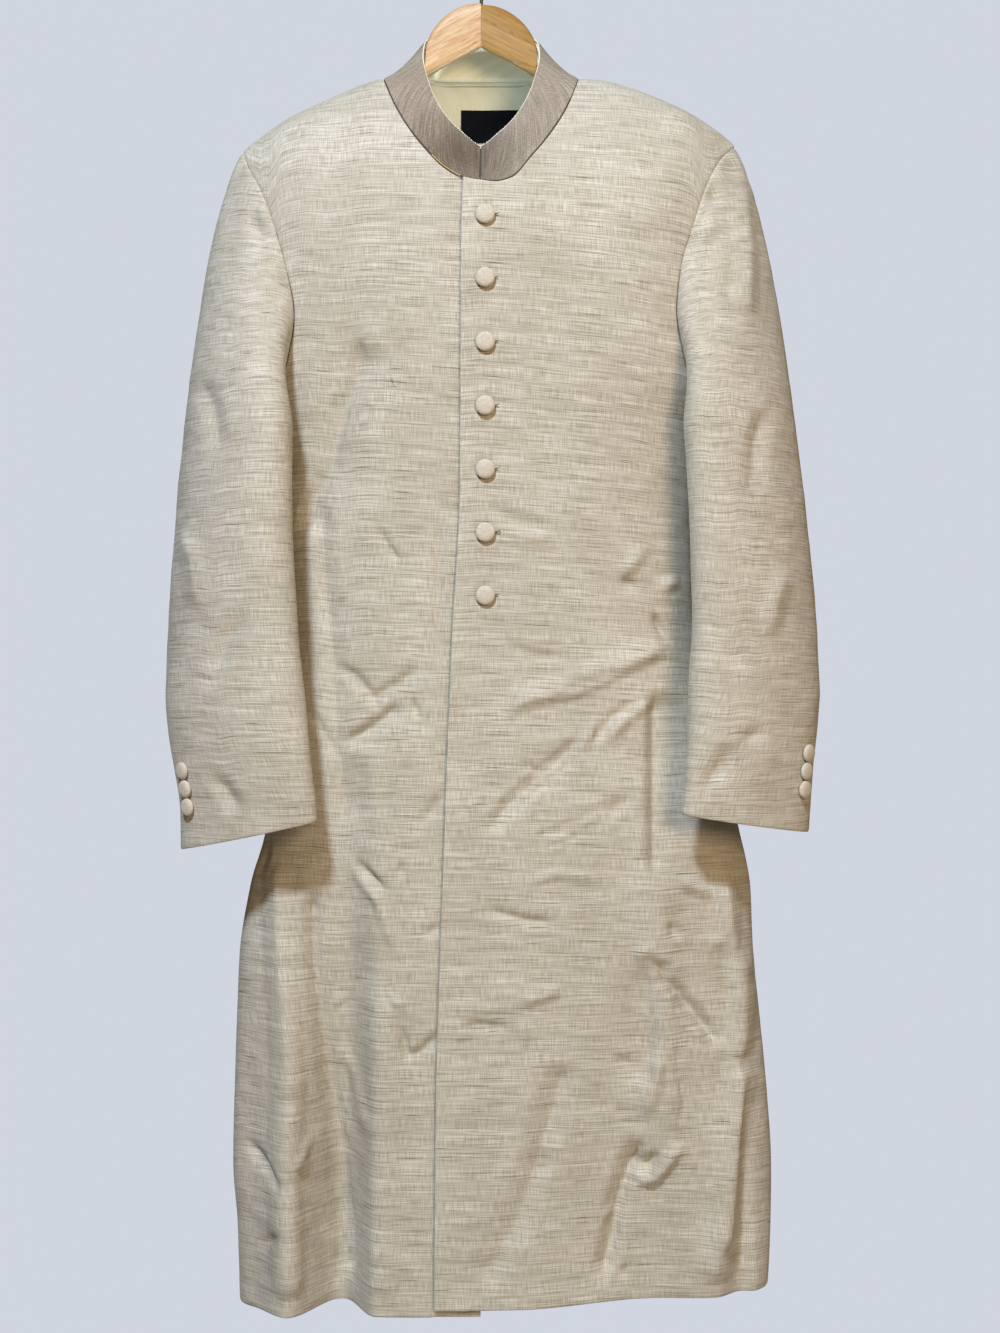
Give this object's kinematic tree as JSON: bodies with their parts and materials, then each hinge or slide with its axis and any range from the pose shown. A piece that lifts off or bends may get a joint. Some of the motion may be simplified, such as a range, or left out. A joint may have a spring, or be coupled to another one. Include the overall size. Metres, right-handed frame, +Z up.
{
  "type": "sherwani coat on a hanger",
  "caption": "Long slub-weave coat with a stand collar, covered buttons down the front and on the cuffs, hung on a wooden hanger with a steel hook",
  "frame": {"origin": "inside top of the hanger's hook, where a rail or peg carries it", "axes": "+X to the wearer's left, the front of the coat faces -Y, +Z up"},
  "size_m": [0.6124, 0.1977, 1.2932],
  "materials": {
    "coat_cloth": "cream silk-and-linen slub weave, fused",
    "collar_cloth": "the same slub weave, darker, over a stiff band",
    "lining": "pale lemon satin lining",
    "label": "black woven satin, bare",
    "buttons": "button covered in plain cream cloth",
    "hanger_wood": "pale hardwood, clear satin lacquer",
    "hook_steel": "dark plated steel wire"
  },
  "bodies": {
    "root": {"front_left": "coat_cloth", "front_right": "coat_cloth", "back": "coat_cloth", "sleeve_left_top": "coat_cloth", "sleeve_left_under": "coat_cloth", "sleeve_right_top": "coat_cloth", "sleeve_right_under": "coat_cloth", "collar": "collar_cloth", "collar_lining": "lining", "back_lining": "lining", "neck_label": "label", "size_tab": "label", "button_1": "buttons", "button_2": "buttons", "button_3": "buttons", "button_4": "buttons", "button_5": "buttons", "button_6": "buttons", "button_7": "buttons", "cuff_button_left_1": "buttons", "cuff_button_left_2": "buttons", "cuff_button_left_3": "buttons", "cuff_button_right_1": "buttons", "cuff_button_right_2": "buttons", "cuff_button_right_3": "buttons", "hanger_left": "hanger_wood", "hanger_right": "hanger_wood", "hook": "hook_steel"}
  },
  "joints": []
}
